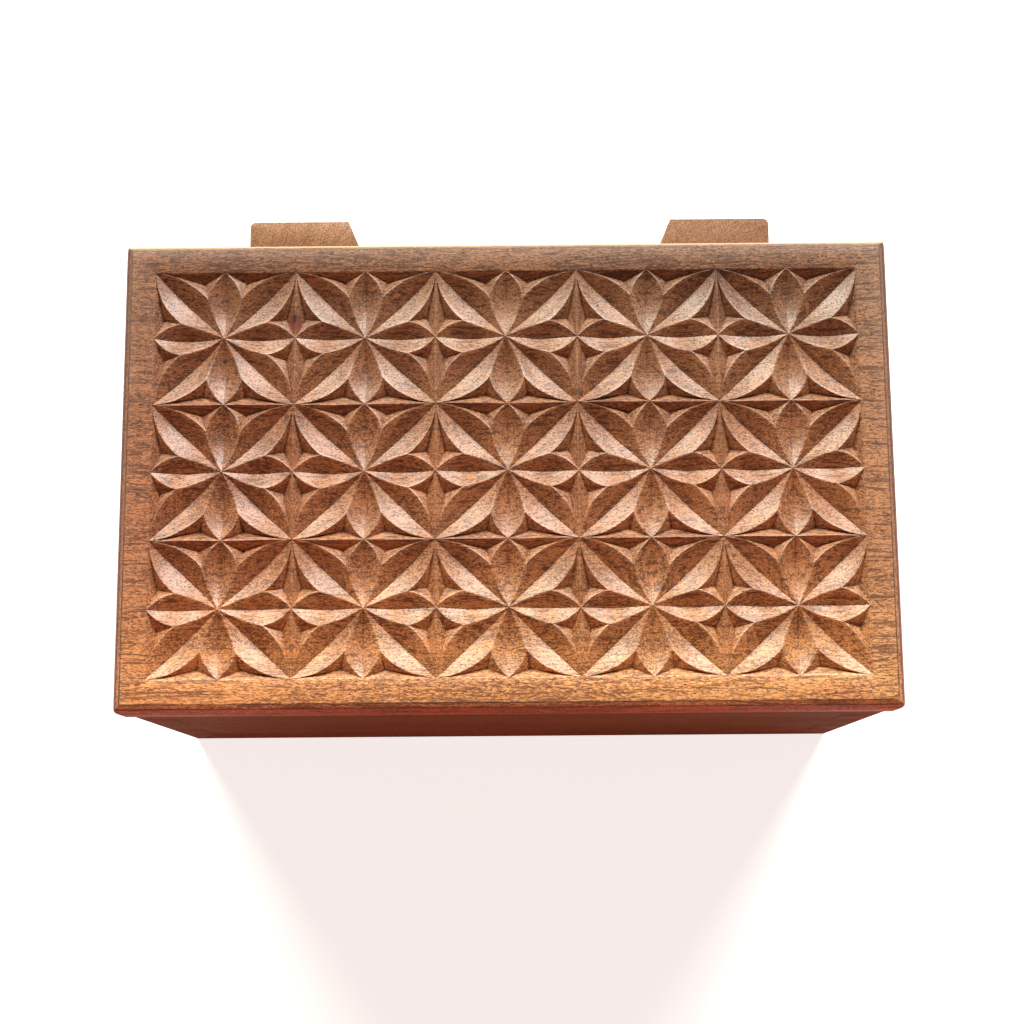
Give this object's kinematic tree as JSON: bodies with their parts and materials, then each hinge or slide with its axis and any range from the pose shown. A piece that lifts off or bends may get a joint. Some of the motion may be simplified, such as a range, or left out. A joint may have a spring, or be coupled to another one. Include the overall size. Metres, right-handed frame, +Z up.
{
  "type": "puzzle box",
  "caption": "Rectangular wooden puzzle box with a chip-carved hinged lid, box-jointed case, wooden hinges, hidden catches, a sliding base and a locking peg.",
  "frame": {"origin": "middle of the bounding footprint, hinge blocks included, at the surface the box stands on", "axes": "+X to the right along the long side, +Y to the back where the hinges are, +Z up"},
  "size_m": [0.2, 0.1298, 0.122],
  "materials": {
    "lid_wood": "hand-carved, oiled and waxed red-brown hardwood",
    "case_wood": "satin oiled dark red-brown hardwood",
    "hinge_wood": "fine-grained tan hardwood, oiled",
    "base_wood": "planed hardwood, lightly oiled",
    "inner_wood": "smooth pale hardwood",
    "catch_wood": "hard pale wood, bare",
    "dowel_wood": "bare end grain",
    "pin_steel": "drawn steel wire",
    "screw_brass": "satin brass"
  },
  "bodies": {
    "case": {"front_wall": "case_wood", "back_wall": "case_wood", "left_wall": "case_wood", "right_wall": "case_wood", "floor_panel": "inner_wood", "inner_wall": "inner_wood", "lock_rail": "inner_wood", "hinge_knuckle_left": "hinge_wood", "hinge_knuckle_right": "hinge_wood", "hinge_pin_left": "pin_steel", "hinge_pin_right": "pin_steel", "knuckle_dowels": "dowel_wood"},
    "lid": {"lid_board": "lid_wood", "lid_batten_left": "inner_wood", "lid_batten_right": "inner_wood", "batten_screws": "screw_brass", "keeper_left": "catch_wood", "keeper_right": "catch_wood", "hinge_leaf_left": "hinge_wood", "hinge_leaf_right": "hinge_wood", "leaf_dowels": "dowel_wood"},
    "base": {"base_panel": "base_wood", "hook_post_left": "catch_wood", "hook_post_right": "catch_wood"},
    "peg": {"secret_peg": "catch_wood"}
  },
  "joints": [
    {"name": "lid_hinge", "type": "hinge", "parent": "case", "child": "lid", "pos_m": [0, 0.06175, 0.11], "axis": [-1, 0, 0], "range_deg": [0, 94]},
    {"name": "base_slide", "type": "slide", "parent": "case", "child": "base", "axis": [-1, 0, 0], "range_m": [0, 0.006]},
    {"name": "peg_slide", "type": "slide", "parent": "case", "child": "peg", "axis": [0, -1, 0], "range_m": [0, 0.005]}
  ]
}
